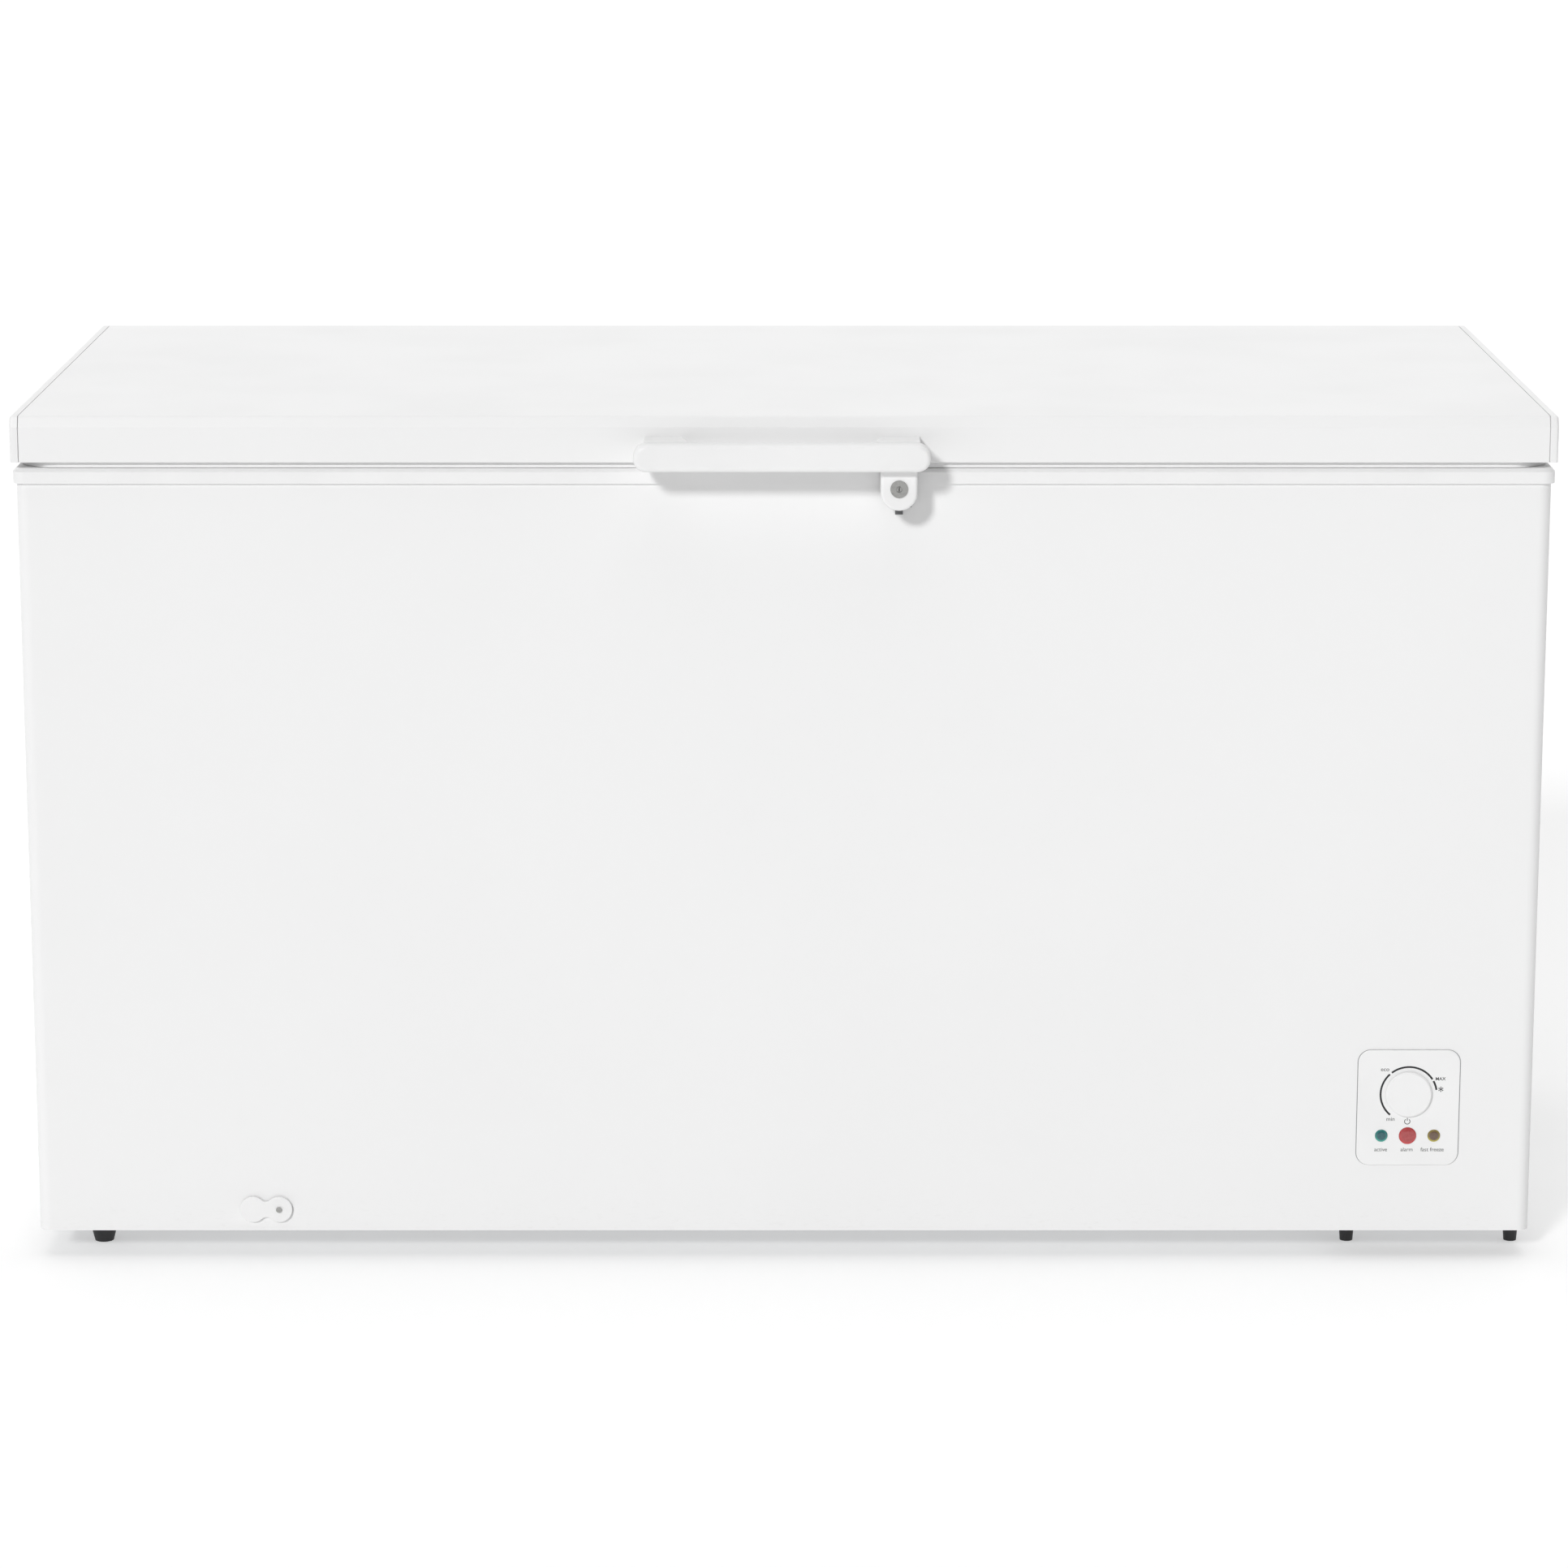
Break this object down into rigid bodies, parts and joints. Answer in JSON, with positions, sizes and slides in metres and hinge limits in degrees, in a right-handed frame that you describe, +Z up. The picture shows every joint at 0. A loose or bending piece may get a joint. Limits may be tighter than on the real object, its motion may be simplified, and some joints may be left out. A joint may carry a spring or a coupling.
{
  "type": "chest freezer",
  "caption": "Wide white chest freezer with a spring-balanced hinged lid, key lock under a bar handle, dial thermostat with pilot lamps, drain flap and a hanging wire basket.",
  "frame": {"origin": "on the floor under the middle of the overall box", "axes": "+X to the right seen from the front, +Y to the back, +Z up"},
  "size_m": [1.5, 0.772, 0.85],
  "materials": {
    "white_steel": "white enamel, satin",
    "rear_steel": "pre-coated grey sheet",
    "zinc_steel": "zinc plated sheet",
    "white_plastic": "white moulding, satin gloss",
    "stucco_aluminium": "stucco embossed sheet",
    "foam": "rigid polyurethane foam, cut",
    "white_rubber": "soft grey seal",
    "black_rubber": "matt black rubber",
    "black_plastic": "fine textured black moulding",
    "black_enamel": "black enamel",
    "copper": "drawn copper tube",
    "grey_paint": "dark grey coating",
    "bright_metal": "satin nickel",
    "white_wire": "white dip coated wire",
    "green_lens": "clear tinted lens",
    "red_lens": "clear tinted lens",
    "amber_lens": "clear tinted lens",
    "circuit_board": "lacquered laminate",
    "clear_hose": "ribbed hose"
  },
  "bodies": {
    "cabinet": {"cabinet_shell": "white_steel", "rear_panel": "rear_steel", "base_panel": "zinc_steel", "machine_bay_casing": "zinc_steel", "insulation": "foam", "liner": "stucco_aluminium", "top_rim": "white_plastic", "condenser_coil": "zinc_steel", "evaporator_coil": "copper", "machine_base_plate": "zinc_steel", "compressor_shell": "black_enamel", "compressor_feet": "black_enamel", "compressor_grommets": "black_rubber", "compressor_bolts": "zinc_steel", "compressor_relay_cover": "black_plastic", "filter_drier": "copper", "discharge_tube": "copper", "suction_tube": "copper", "capillary_tube": "copper", "rear_grille": "black_plastic", "side_vent_grille": "white_plastic", "mains_cord_gland": "black_plastic", "feet": "black_plastic", "base_bolts": "zinc_steel", "control_bezel": "white_plastic", "control_housing": "black_plastic", "thermostat": "zinc_steel", "lamp_board": "circuit_board", "lamp_active": "green_lens", "lamp_alarm": "red_lens", "lamp_fast_freeze": "amber_lens", "wiring_loom": "black_plastic", "drain_tube": "clear_hose", "drain_cover_screw": "bright_metal", "lock_keeper": "grey_paint", "hinge_base_left": "black_plastic", "hinge_base_right": "black_plastic", "hinge_springs": "bright_metal", "hinge_pins": "bright_metal"},
    "lid": {"lid_skin": "white_steel", "lid_end_cap_left": "white_plastic", "lid_end_cap_right": "white_plastic", "lid_foam": "foam", "lid_inner_panel": "white_plastic", "lid_gasket": "white_rubber", "handle_grip": "white_plastic", "handle_screws": "bright_metal", "lock_housing": "white_plastic", "hinge_leaf_left": "zinc_steel", "hinge_leaf_right": "zinc_steel", "hinge_leaf_screws": "bright_metal"},
    "knob": {"thermostat_knob": "white_plastic"},
    "lock_barrel": {"lock_cylinder": "bright_metal", "lock_cam": "bright_metal"},
    "drain_flap": {"drain_cover": "white_plastic"},
    "plug": {"drain_plug": "black_rubber"},
    "basket": {"basket_floor": "white_wire", "basket_long_sides": "white_wire", "basket_short_sides": "white_wire", "basket_hooks": "white_wire"}
  },
  "joints": [
    {"name": "lid_hinge", "type": "hinge", "parent": "cabinet", "child": "lid", "pos_m": [0, 0.376, 0.8], "axis": [-1, 0, 0], "range_deg": [0, 80], "stiffness_Nm_per_rad": 9, "springref_deg": 137.51},
    {"name": "knob_turn", "type": "hinge", "parent": "cabinet", "child": "knob", "pos_m": [0.6218, -0.332, 0.1699], "axis": [0, 1, 0], "range_deg": [0, 262]},
    {"name": "lock_turn", "type": "hinge", "parent": "lid", "child": "lock_barrel", "pos_m": [0.1109, -0.35, 0.7848], "axis": [0, 1, 0], "range_deg": [0, 90]},
    {"name": "drain_flap_swing", "type": "hinge", "parent": "cabinet", "child": "drain_flap", "pos_m": [-0.505, -0.332, 0.0505], "axis": [0, 1, 0], "range_deg": [0, 120]},
    {"name": "drain_plug_lift", "type": "slide", "parent": "cabinet", "child": "plug", "axis": [0, 0, 1], "range_m": [0, 0.04]},
    {"name": "basket_slide", "type": "slide", "parent": "cabinet", "child": "basket", "axis": [1, 0, 0], "range_m": [-1.02, 0.035]}
  ]
}
